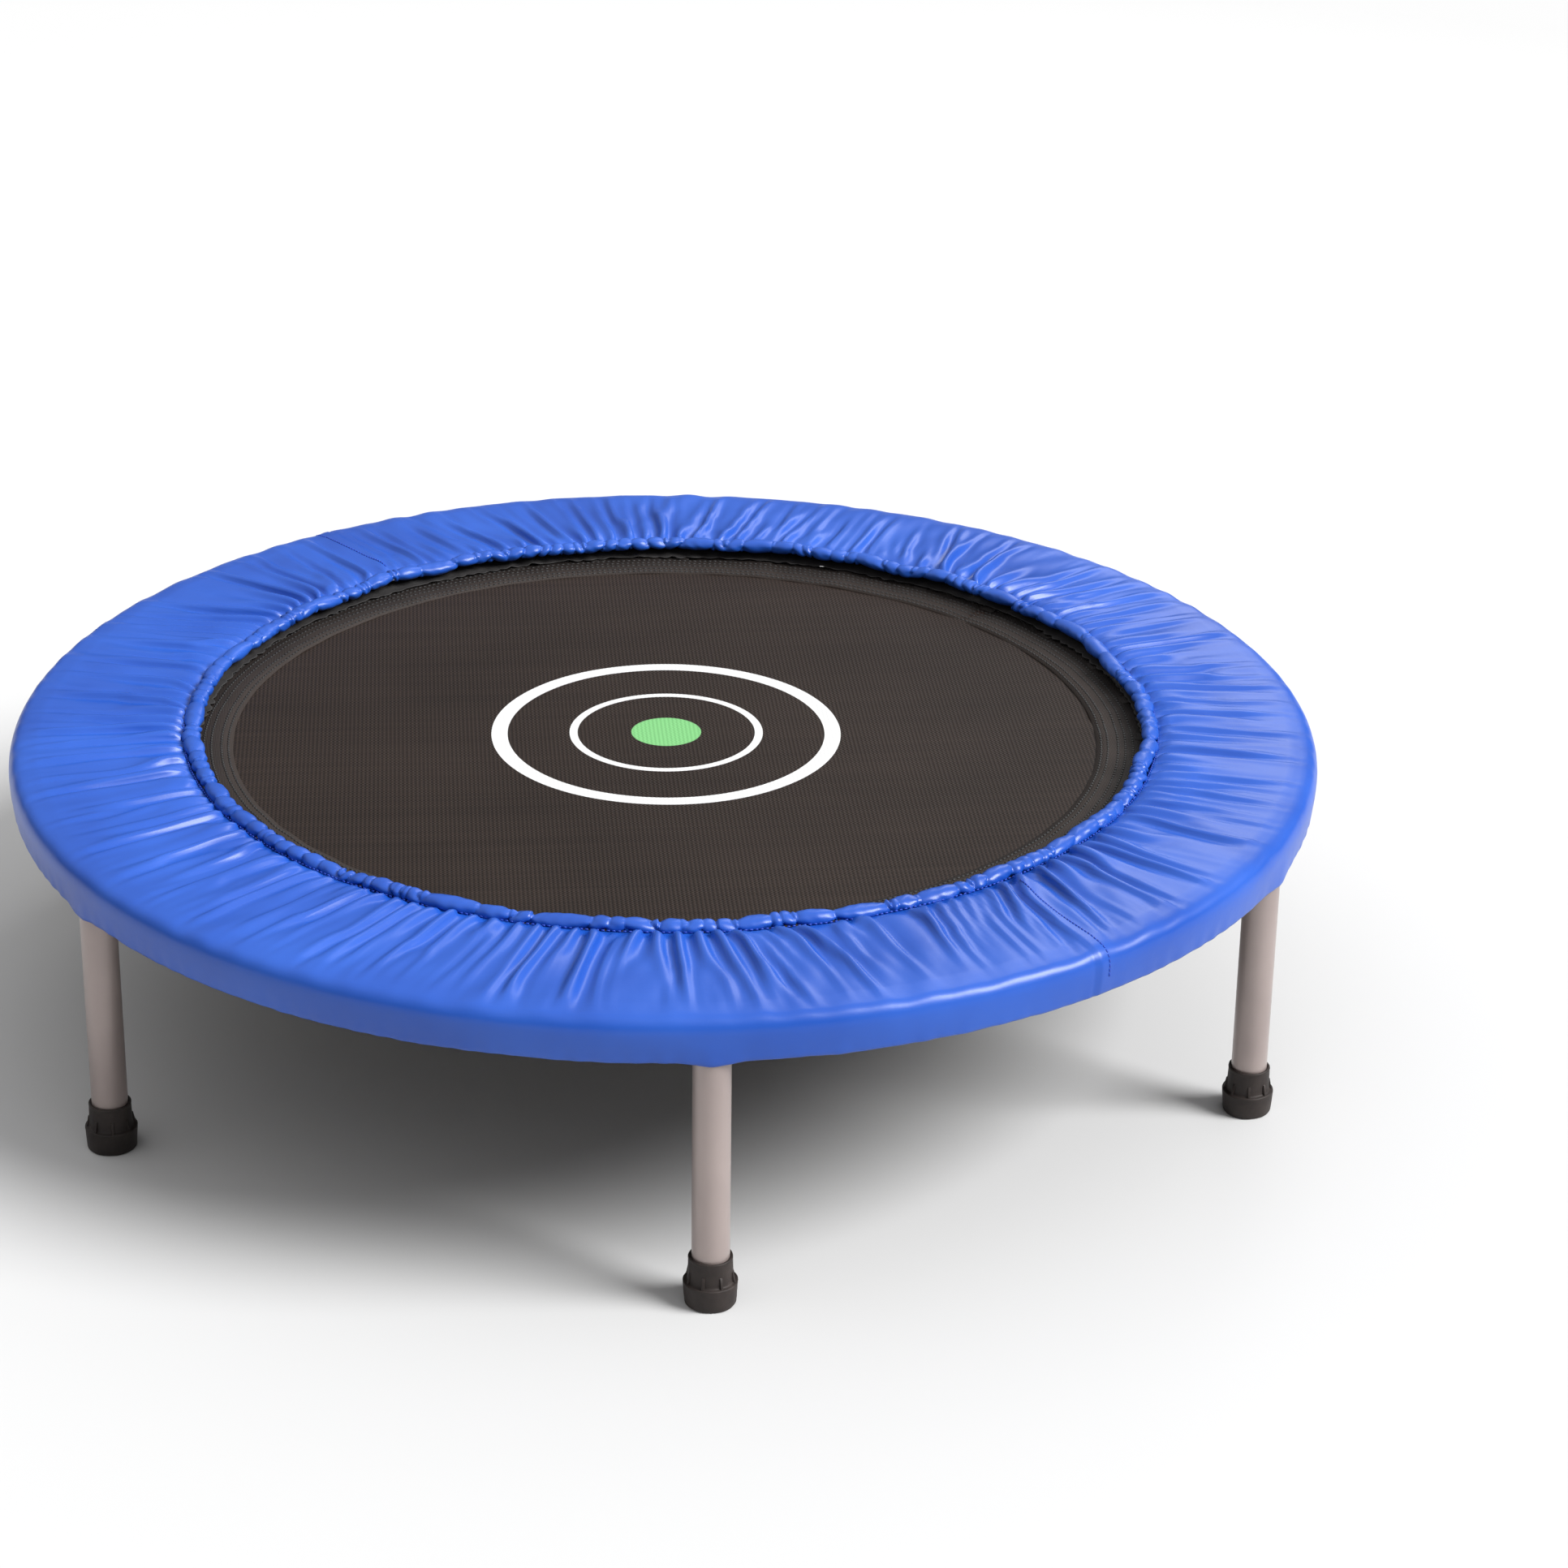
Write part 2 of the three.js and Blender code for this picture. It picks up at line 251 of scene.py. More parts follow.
# ---------------------------------------------------------------- materials
class Surface:
    """A Principled material, with short ways to add nodes."""

    def __init__(self, name, base, roughness, metallic=0.0):
        self.material = bpy.data.materials.new(name)
        self.material.use_nodes = True
        self.tree = self.material.node_tree
        self.shader = self.tree.nodes["Principled BSDF"]
        self.set("Base Color", (*base, 1))
        self.set("Roughness", roughness)
        self.set("Metallic", metallic)

    def feed(self, socket, value):
        """Links a node's output to the socket, or sets a plain value."""
        if isinstance(value, bpy.types.NodeSocket):
            self.tree.links.new(value, socket)
        else:
            socket.default_value = value

    def set(self, socket_name, value):
        self.feed(self.shader.inputs[socket_name], value)

    def node(self, kind, **properties):
        node = self.tree.nodes.new(kind)
        for key, value in properties.items():
            setattr(node, key, value)
        return node

    def object_point(self):
        return self.node("ShaderNodeTexCoord").outputs["Object"]

    def split(self, point):
        separate = self.node("ShaderNodeSeparateXYZ")
        self.feed(separate.inputs[0], point)
        return separate.outputs[0], separate.outputs[1]

    def noise(self, point, scale, detail, roughness=0.5):
        node = self.node("ShaderNodeTexNoise")
        self.feed(node.inputs["Scale"], scale)
        self.feed(node.inputs["Detail"], detail)
        self.feed(node.inputs["Roughness"], roughness)
        self.feed(node.inputs["Vector"], point)
        return node.outputs["Fac"]

    def ramp(self, factor, stops):
        """stops are (position, colour)."""
        node = self.node("ShaderNodeValToRGB")
        elements = node.color_ramp.elements
        for element, (position, colour) in zip(elements, (stops[0], stops[-1])):
            element.position, element.color = position, (*colour, 1)
        for position, colour in stops[1:-1]:
            elements.new(position).color = (*colour, 1)
        self.feed(node.inputs["Fac"], factor)
        return node.outputs["Color"]

    def math(self, operation, *values):
        node = self.node("ShaderNodeMath", operation=operation)
        for socket, value in zip(node.inputs, values):
            self.feed(socket, value)
        return node.outputs[0]

    def add(self, a, b):
        return self.math("ADD", a, b)

    def multiply(self, a, b):
        return self.math("MULTIPLY", a, b)

    def scaled(self, value, gain, base):
        return self.add(self.multiply(value, gain), base)

    def wave(self, coordinate, pitch):
        return self.math("SINE", self.multiply(coordinate, TAU / pitch))

    def radius(self, x, y):
        return self.math("SQRT", self.add(self.multiply(x, x), self.multiply(y, y)))

    def bump(self, height, strength, distance):
        node = self.node("ShaderNodeBump")
        self.feed(node.inputs["Strength"], strength)
        self.feed(node.inputs["Distance"], distance)
        self.feed(node.inputs["Height"], height)
        self.set("Normal", node.outputs["Normal"])


def blue_fabric():
    s = Surface("blue_coated_fabric", base=(0.012, 0.085, 0.62), roughness=0.36)
    point = s.object_point()
    patches = s.noise(point, scale=9.0, detail=3.0)
    stops = [(0.3, (0.006, 0.062, 0.375)), (0.7, (0.014, 0.090, 0.47))]
    s.set("Base Color", s.ramp(patches, stops))
    # fine grain under the coating, with soft crinkles
    grain = s.noise(point, scale=260.0, detail=3.0)
    crinkles = s.noise(point, scale=42.0, detail=2.0)
    s.bump(s.scaled(grain, gain=0.16, base=crinkles), strength=0.22, distance=0.0012)
    s.set("Roughness", s.scaled(patches, gain=0.14, base=0.29))
    return s.material


def woven_mat():
    s = Surface("woven_mat", base=(0.034, 0.026, 0.024), roughness=0.50)
    point = s.object_point()
    x, y = s.split(point)
    # threads along x and y, going over and under each other
    thread_pitch = 0.0030
    wave_x = s.wave(x, thread_pitch)
    wave_y = s.wave(y, thread_pitch)
    over = s.multiply(wave_x, wave_y)
    patches = s.noise(point, scale=5.0, detail=4.0)
    stretch = s.node("ShaderNodeMapping")
    stretch.inputs["Scale"].default_value = (4.0, 260.0, 1.0)  # streaks along x
    s.feed(stretch.inputs["Vector"], point)
    streaks = s.noise(stretch.outputs[0], scale=1.0, detail=2.0)
    # shares of weave, ribs, patches and streaks in the tone
    ribs = s.add(s.multiply(over, 0.16), s.multiply(wave_x, 0.20))
    tone = s.add(ribs, s.add(s.multiply(patches, 0.45), s.multiply(streaks, 0.42)))
    cloth = s.ramp(tone, [(0.12, (0.0075, 0.0047, 0.0037)), (0.86, (0.0365, 0.0250, 0.0200))])
    # printed mark: two white rings and a green dot
    radius = s.radius(x, y)

    def ring(inner, outer):
        return s.multiply(
            s.math("GREATER_THAN", radius, inner), s.math("LESS_THAN", radius, outer)
        )

    rings = s.add(ring(inner=0.118, outer=0.130), ring(inner=0.066, outer=0.072))
    dot = s.math("LESS_THAN", radius, 0.026)
    wear = s.scaled(over, gain=0.10, base=0.90)
    colour = cloth
    for mask, ink in ((rings, (0.74, 0.74, 0.74, 1)), (dot, (0.19, 0.50, 0.19, 1))):
        mix = s.node("ShaderNodeMix", data_type="RGBA")
        factor, under, printed = mix.inputs[0], mix.inputs[6], mix.inputs[7]
        s.feed(factor, s.multiply(mask, wear))
        s.feed(under, colour)
        s.feed(printed, ink)
        colour = mix.outputs[2]
    s.set("Base Color", colour)
    s.bump(s.add(over, s.multiply(wave_x, 0.6)), strength=0.40, distance=0.0004)
    s.set("Specular IOR Level", 0.12)
    return s.material


def edge_webbing():
    s = Surface("edge_webbing", base=(0.016, 0.012, 0.011), roughness=0.58)
    point = s.object_point()
    x, y = s.split(point)
    thread_pitch = 0.0024
    rising = s.wave(s.add(x, y), thread_pitch)
    falling = s.wave(s.math("SUBTRACT", x, y), thread_pitch)
    weave = s.multiply(rising, falling)
    patches = s.noise(point, scale=26.0, detail=4.0)
    # painted shade: darker outwards, where the casing's shadow falls on the band, and lighter
    # towards the mat
    painted_casing_shade = s.multiply(s.math("SUBTRACT", 0.354, s.radius(x, y)), 21.0)
    # shares of weave and patches in the tone
    tone = s.add(s.multiply(weave, 0.14), s.add(s.multiply(patches, 0.6), painted_casing_shade))
    stops = [(0.15, (0.006, 0.0048, 0.0045)), (0.95, (0.030, 0.0222, 0.0190))]
    s.set("Base Color", s.ramp(tone, stops))
    s.bump(weave, strength=0.4, distance=0.0004)
    s.set("Specular IOR Level", 0.2)
    return s.material


def cloth(name, dark, light, roughness, scale, bump_distance=0.0006, bump_strength=0.4):
    """Plain cloth: mottled between two colours, with a grain seven times finer."""
    s = Surface(name, base=dark, roughness=roughness)
    point = s.object_point()
    s.set("Base Color", s.ramp(s.noise(point, scale, detail=4.0), [(0.3, dark), (0.7, light)]))
    grain = s.noise(point, scale * 7, detail=2.0)
    s.bump(grain, bump_strength, bump_distance)
    return s.material


def taupe_paint():
    s = Surface("taupe_grey_paint", base=(0.43, 0.357, 0.336), roughness=0.34, metallic=0.35)
    point = s.object_point()
    patches = s.noise(point, scale=14.0, detail=4.0)
    stops = [(0.35, (0.318, 0.262, 0.248)), (0.7, (0.374, 0.310, 0.292))]
    s.set("Base Color", s.ramp(patches, stops))
    orange_peel = s.noise(point, scale=420.0, detail=2.0)
    s.bump(orange_peel, strength=0.10, distance=0.0003)
    s.set("Roughness", s.scaled(patches, gain=0.12, base=0.30))
    s.set("Coat Weight", 0.25)
    s.set("Coat Roughness", 0.25)
    return s.material


def bare_metal(name, base, roughness):
    s = Surface(name, base, roughness, metallic=1.0)
    patches = s.noise(s.object_point(), scale=60.0, detail=4.0)
    dark = tuple(channel * 0.82 for channel in base)
    s.set("Base Color", s.ramp(patches, [(0.35, dark), (0.65, base)]))
    s.set("Roughness", s.scaled(patches, gain=0.2, base=roughness - 0.08))
    return s.material


def foot_rubber():
    s = Surface("foot_rubber", base=(0.030, 0.026, 0.025), roughness=0.62)
    point = s.object_point()
    patches = s.noise(point, scale=55.0, detail=5.0, roughness=0.6)
    stops = [
        (0.35, (0.017, 0.0128, 0.0115)),
        (0.62, (0.032, 0.0245, 0.0222)),
        (0.8, (0.052, 0.041, 0.037)),
    ]
    s.set("Base Color", s.ramp(patches, stops))
    s.set("Roughness", s.scaled(patches, gain=0.3, base=0.42))
    grain = s.noise(point, scale=500.0, detail=2.0)
    s.bump(grain, strength=0.25, distance=0.0004)
    s.set("Specular IOR Level", 0.3)
    return s.material


BLUE = blue_fabric()
WEAVE = woven_mat()
WEBBING = edge_webbing()
PAINT = taupe_paint()
ZINC = bare_metal("zinc_plate", base=(0.62, 0.62, 0.60), roughness=0.34)
RING = bare_metal("ring_steel", base=(0.30, 0.30, 0.29), roughness=0.42)
RUBBER = foot_rubber()
BLACK = cloth(
    "black_backing_cloth", dark=(0.010, 0.009, 0.009), light=(0.022, 0.020, 0.020),
    roughness=0.75, scale=90.0,
)
FOAM = cloth(
    "foam_sheet", dark=(0.66, 0.66, 0.62), light=(0.78, 0.78, 0.74),
    roughness=0.85, scale=220.0, bump_distance=0.0008, bump_strength=0.6,
)
ELASTIC = cloth(
    "elastic_cord", dark=(0.58, 0.56, 0.52), light=(0.72, 0.70, 0.66),
    roughness=0.8, scale=300.0,
)
THREAD = cloth(
    "black_thread", dark=(0.006, 0.006, 0.006), light=(0.016, 0.015, 0.015),
    roughness=0.55, scale=200.0,
)
BLUE_THREAD = cloth(
    "blue_thread", dark=(0.008, 0.045, 0.36), light=(0.012, 0.06, 0.46),
    roughness=0.5, scale=200.0,
)


# ---------------------------------------------------------------- frame ring
def frame_tube():
    """The ring tube, with a slot in its inner side at each spring."""
    half_slot = 2.3 / 456.0  # radians
    slot_top, slot_bottom = 9.0, 2.4  # above the tube's centre
    gap_steps = 7
    stations = 3 + gap_steps - 1  # per spring
    pitch = math.radians(SPRING_PITCH)
    angles = []
    for degrees in SPRING_ANGLES:
        middle = math.radians(degrees)
        angles += [middle - half_slot, middle, middle + half_slot]
        for k in range(1, gap_steps):
            angles.append(middle + half_slot + (pitch - 2 * half_slot) * k / gap_steps)
    angles = np.array(angles)
    # round the tube's section: down the slot, then the rest of the circle
    top = math.pi - math.asin(slot_top / FRAME_TUBE_RADIUS)
    bottom = math.pi - math.asin(slot_bottom / FRAME_TUBE_RADIUS)
    section = np.concatenate(
        [np.linspace(top, bottom, 3), np.linspace(bottom, top + TAU, 26)[1:-1]]
    )
    sides = len(section)
    verts = polar(
        FRAME_RADIUS + FRAME_TUBE_RADIUS * np.cos(section),
        angles[:, None],
        FRAME_Z + FRAME_TUBE_RADIUS * np.sin(section),
    ).reshape(-1, 3)
    # leave out the two by two faces of each slot
    faces = [
        face
        for k, face in enumerate(grid_faces(len(angles), sides, True, True))
        if not (k // sides % stations < 2 and k % sides < 2)
    ]
    tube = mesh_object("frame_ring_tube", (verts, faces), PAINT)
    solidify(tube, thickness=1.2, offset=-1.0)
    register(tube, "frame", "frame_ring")


def weld_bead(leg_angle):
    """An uneven bead where a leg's boss meets the underside of the ring tube."""
    path_radius, wire_radius, sides = 10.9, 1.0, 8
    angle = around(48)
    random = np.random.RandomState(leg_angle + 500)
    x, y = LEG_RADIUS + path_radius * np.cos(angle), path_radius * np.sin(angle)
    off_centre = np.hypot(x, y) - FRAME_RADIUS
    drop = np.sqrt(np.maximum(FRAME_TUBE_RADIUS**2 - off_centre**2, 1.0))
    path = np.stack([x, y, FRAME_Z - drop - 0.2], -1)
    thickness = 1.25 + 0.22 * np.sin(angle * 17) + 0.12 * random.randn(48)
    verts, faces = sweep(path, wire_radius, sides, closed=True)
    centres = path.repeat(sides, 0)
    verts = centres + (verts - centres) * thickness.repeat(sides)[:, None]
    return turned((verts, faces), leg_angle)


def frame_bosses():
    """A bored boss for each leg, and its weld bead."""
    profile = [(6.5, 192), (6.5, 184.6), (7.2, 183.8), (9.3, 183.8), (10.0, 184.5), (10.0, 192.5)]
    boss = lathe(rounded(profile, 0.4), 40)
    for name, meshes in (
        ("frame_leg_bosses", [turned(boss, degrees) for degrees in LEG_ANGLES]),
        ("frame_weld_beads", [weld_bead(degrees) for degrees in LEG_ANGLES]),
    ):
        register(mesh_object(name, joined(meshes), PAINT), "frame")


# ---------------------------------------------------------------- legs
# (radius, z) profiles about the leg axis
LEG_TUBE_PROFILE = [(11.45, 8.2), (12.7, 8.2), (12.7, 182.9), (11.6, 183.15), (9.5, 183.2)]
LEG_PLUG_PROFILE = [(0.01, 175.0), (10.8, 175.0), (10.8, 182.4), (10.2, 183.3), (0.01, 183.4)]
FOOT_PROFILE = [  # tread, flared side, shoulder, collar with a lip, bore
    (0.01, 0.9), (10.5, 0.9), (12.0, 0.0), (16.0, 0.0), (17.2, 1.3), (17.7, 8.0),
    (18.25, 15.6), (18.35, 17.0), (17.7, 17.5), (16.2, 17.7), (15.5, 18.3), (15.15, 20.0),
    (14.75, 33.4), (14.9, 34.2), (14.85, 35.3), (14.3, 35.8), (13.1, 35.6), (12.85, 34.8),
    (12.8, 20.0),
]
FOOT_RIB_PROFILE = [(14.6, 17.4), (17.3, 17.4), (16.6, 20.2), (15.6, 25.2), (14.6, 25.8)]


def leg_stud():
    """The threaded stud on its top plug."""
    segments, pitch, bottom, top = 36, 1.75, 183.4, 195.2
    core_radius, thread_depth = 5.1, 0.85
    chamfer_height, chamfer_depth = 1.2, 0.9
    steps = int((top - bottom) / pitch * 8)
    rows = steps + 1
    turn = (np.arange(segments) / segments)[:, None]
    z = bottom + (top - bottom) * np.arange(rows) / steps
    phase = (z / pitch - turn) % 1.0
    radius = core_radius + thread_depth * (1 - abs(2 * phase - 1))
    radius = radius - chamfer_depth * (1 - np.minimum(1.0, (top - z) / chamfer_height))
    verts = polar(radius, TAU * turn, z).reshape(-1, 3) + LEG_AXIS
    faces = grid_faces(segments, rows)
    tip = len(verts)
    verts = np.concatenate([verts, [[LEG_RADIUS, 0, top]]])
    for i in range(segments):
        faces.append([i * rows + steps, (i + 1) % segments * rows + steps, tip])
    return joined([(verts, faces), lathe(rounded(LEG_PLUG_PROFILE, 0.5), 36)])


def foot_rib():
    """A tapered rib between the collar and the tread's shoulder, about the z axis."""
    half_width = 1.1
    verts = []
    for side in (-half_width, half_width):
        for radius, z in FOOT_RIB_PROFILE:
            taper = 0.35 if radius > 15.2 else 0.0
            verts.append([radius, side * (1 - taper), z])
    count = len(FOOT_RIB_PROFILE)
    faces = [list(range(count)), list(range(2 * count - 1, count - 1, -1))]
    for j in range(count):
        k = (j + 1) % count
        faces.append([j, count + j, count + k, k])
    return verts, faces


def rubber_foot(seed):
    """The foot, slightly out of round on its outside, with eight ribs."""
    verts, faces = lathe(rounded(FOOT_PROFILE, 0.8, 2), 64)
    random = np.random.RandomState(seed)
    x, y, z = (verts - LEG_AXIS).T
    angle = np.arctan2(y, x)
    wobble = (
        1
        + 0.010 * np.sin(3 * angle + random.rand() * 6)
        + 0.006 * np.sin(7 * angle + z * 0.25 + random.rand() * 6)
    )
    outside = np.hypot(x, y) > 13.2
    verts[outside, 0] = LEG_RADIUS + (x * wobble)[outside]
    verts[outside, 1] = (y * wobble)[outside]
    parts = [(verts, faces)]
    for k in range(8):
        rib, rib_faces = turned(foot_rib(), 45 * (k + 0.5))
        parts.append((rib + LEG_AXIS, rib_faces))
    return joined(parts)


def legs():
    tube = lathe(rounded(LEG_TUBE_PROFILE, 0.7, 4), 56)
    stud = leg_stud()
    for i, degrees in enumerate(LEG_ANGLES):
        body = f"leg_{i + 1}"
        obj = mesh_object(f"{body}_tube", turned(tube, degrees), PAINT)
        register(obj, body, f"leg_tube_{i + 1}")
        obj = mesh_object(f"{body}_stud", turned(stud, degrees), ZINC)
        register(obj, body, f"leg_stud_{i + 1}")
        foot = turned(rubber_foot(seed=77 + i), degrees)
        obj = mesh_object(f"{body}_foot", foot, RUBBER)
        obj.data.set_sharp_from_angle(angle=math.radians(50))
        register(obj, body, f"rubber_foot_{i + 1}")


# ---------------------------------------------------------------- springs
# hooks at both ends of a spring along +X: (x, y, z above the spring's axis)
INNER_HOOK = [
    (371.6, 0, -2.65), (369.4, 0, -2.3), (368.0, 0, -1.0), (367.9, 0, 0.8), (369.2, 0, 2.5),
    (371.4, 0, 3.0), (374.5, 0, 3.1), (378.0, 0, 3.3), (381.0, 0.4, 3.7),
]
OUTER_HOOK = [
    (450.2, -0.5, 3.9), (453.0, 0, 3.0), (455.6, 0, 1.2), (457.8, 0, 0.1), (460.2, 0, -0.6),
    (461.6, 0, -2.2), (461.8, 0, -4.6),
]


def springs():
    coil_start, coil_end, coil_radius, turns = 383.5, 448.0, 4.15, 33
    t = np.linspace(0, 1, turns * 10 + 1)
    x = coil_start + (coil_end - coil_start) * t
    angle = TAU * turns * t
    coil = np.stack([x, coil_radius * np.sin(angle), coil_radius * np.cos(angle)], -1)
    path = np.concatenate([INNER_HOOK, coil, OUTER_HOOK]) + [0, 0, SPRING_Z]
    spring = sweep(path, radius=0.95, sides=7)
    for i, degrees in enumerate(SPRING_ANGLES):
        # the second draw sets the spring slightly askew; the first is spare
        jitter = np.random.RandomState(900 + i).rand(2)[1] - 0.5
        mesh = turned(spring, degrees + jitter * 0.05)
        obj = mesh_object(f"spring_{i + 1:02d}_coil", mesh, ZINC)
        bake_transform(obj)
        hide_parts(f"spring_{i + 1:02d}")


# ---------------------------------------------------------------- mat and webbing
MAT_RADIUS = 352
BAND_Z = 205.45
# closed section of the webbing band: (radius, height about BAND_Z)
BAND_SECTION = np.array(rounded([
    (320, 1.05), (330, 1.5), (345, 1.55), (359, 1.6), (361, 0.8), (361.4, 0.0),
    (361, -0.8), (359, -1.6), (345, -1.55), (320, -1.05),
], 1.2, 2))
BAND_ANGLES = around(512)
BAND_SAG = noise_ring(BAND_ANGLES, seed=15, waves=(20, 70)) * 0.35


def mat_cloth():
    """The jump mat: a gently sagging disc, rippled at its edge by the springs."""
    segments = 384
    radii = np.concatenate([np.linspace(8, 312, 39), np.linspace(318, MAT_RADIUS, 9)])
    rings = len(radii)
    angle = around(segments)[:, None]
    ripple = smoothstep(300, MAT_RADIUS, radii) * np.cos(SPRING_COUNT * angle + 0.5 * TAU)
    uneven = noise_ring(angle, seed=5, waves=(3, 9)) * smoothstep(60, 250, radii)
    z = SPRING_Z + 0.45 * ripple + 0.35 * uneven
    z = z + 0.5 - 0.9 * (1 - (radii / MAT_RADIUS) ** 2)
    verts = polar(radii, angle, z).reshape(-1, 3)
    faces = grid_faces(segments, rings)
    # the middle is closed by a fan
    centre = len(verts)
    verts = np.concatenate([verts, [[0.0, 0.0, z[0, 0]]]])
    faces += [[(i + 1) % segments * rings, i * rings, centre] for i in range(segments)]
    obj = mesh_object("jump_mat_cloth", (verts, faces), WEAVE)
    solidify(obj, thickness=0.9, offset=0.0)
    register(obj, "mat", "jump_mat")


def mat_edge_band():
    """Webbing folded over the mat's edge, its rim drawn in and out by the springs."""
    radius, height = BAND_SECTION.T
    from_spring = BAND_ANGLES - math.radians(SPRING_ANGLES[0])
    pull = 1.3 * np.cos(SPRING_COUNT * from_spring)[:, None]
    verts = polar(
        radius + pull * smoothstep(330, 361, radius),
        BAND_ANGLES[:, None],
        BAND_Z + height + BAND_SAG[:, None],
    ).reshape(-1, 3)
    faces = grid_faces(len(BAND_ANGLES), len(radius), True, True)
    obj = mesh_object("mat_edge_band", (verts, faces), WEBBING)
    register(obj, "mat", "mat_edge_webbing")


def mat_edge_stitches():
    """Five rows of short thread loops standing on the band."""
    spacing = 4.2
    top = BAND_SECTION[: len(BAND_SECTION) // 2]
    parts = []
    for radius in (323.5, 328.5, 336.0, 341.5, 347.0):
        height = BAND_Z + np.interp(radius, top[:, 0], top[:, 1])
        for angle in around(int(TAU * radius / spacing)):
            z = height + np.interp(angle, BAND_ANGLES, BAND_SAG, period=TAU)
            loop = stitch(
                radius, z, length=3.1, half_width=0.85, inset=0.6, sink=0.1, rise=0.5
            )
            parts.append(turned(loop, math.degrees(angle)))
    register(mesh_object("mat_edge_stitches", joined(parts), THREAD), "mat")


def at_springs(mesh):
    """Copies of the mesh at all the springs, as one."""
    return joined([turned(mesh, degrees) for degrees in SPRING_ANGLES])


def mat_v_rings():
    """Tapered wire rings, each held by a webbing loop round its inner bar."""
    corners = [(371.0, 5.2), (356.5, 9.4), (356.5, -9.4), (371.0, -5.2)]
    outline = rounded(corners[-1:] + corners + corners[:1], 2.2, 5)[1:-1]
    path = [(x, y, BAND_Z) for x, y in outline]
    ring = sweep(path, radius=1.45, sides=10, closed=True)
    register(mesh_object("mat_v_rings", at_springs(ring), RING), "mat")

    bend_centre, bend_radius = 357.5, 2.6
    tail_x, tail_height, half_width = 349.0, 1.75, 6.5
    bend = [
        (bend_centre + bend_radius * math.cos(a), bend_radius * math.sin(a))
        for a in np.linspace(math.pi / 2, -math.pi / 2, 8)
    ]
    profile = [(tail_x, tail_height)] + bend + [(tail_x, -tail_height)]
    stations = np.linspace(-half_width, half_width, 6)
    verts = [[x, y, BAND_Z + z] for y in stations for x, z in profile]
    faces = grid_faces(len(stations), len(profile), False)
    obj = mesh_object("mat_v_ring_loops", at_springs((verts, faces)), WEBBING)
    solidify(obj, thickness=0.8, offset=1.0)
    register(obj, "mat")


# ---------------------------------------------------------------- pad
COVER_SEGMENTS = 1100
SEAM_ANGLES = (-57.3, 122.7)  # degrees
# (radius, z) of the cover at rest: from the stitch line over the foam,
TOP = [(360.5, 214.6), (363.5, 216.0), (368.0, 217.6)] + [
    (r, 217.6 + 1.3 * math.sin(math.pi * min(1.0, (r - 368.0) / 110.0)))
    for r in np.arange(372.0, 461.0, 4.0)
]
# over the tube,
EDGE = [
    (462.5, 218.4), (466.5, 218.5), (470.3, 218.2), (473.8, 217.4), (476.8, 216.0),
    (479.2, 214.0), (480.8, 211.5), (481.7, 208.6), (482.1, 205.4),
]
# and down the skirt, turned in below
SKIRT = np.array([
    (482.2, 202.0), (482.0, 198.6), (481.7, 195.2), (481.2, 191.8), (480.8, 188.8),
    (480.5, 186.4), (479.9, 184.9), (478.4, 184.1), (476.4, 184.3), (474.6, 185.2),
])
COVER = np.array(TOP + EDGE)


def drawn(verts, lift=2.2):
    """Draws the inner edge a few millimetres off centre and up; the rim stays put."""
    verts = np.array(verts, float)
    radius = np.hypot(verts[..., 0], verts[..., 1])
    share = 1 - smoothstep(364, 452, radius)
    verts[..., 0] += 4.6 * share
    verts[..., 1] += 1.2 * share
    verts[..., 2] += lift * (1 - smoothstep(362, 415, radius))
    return verts


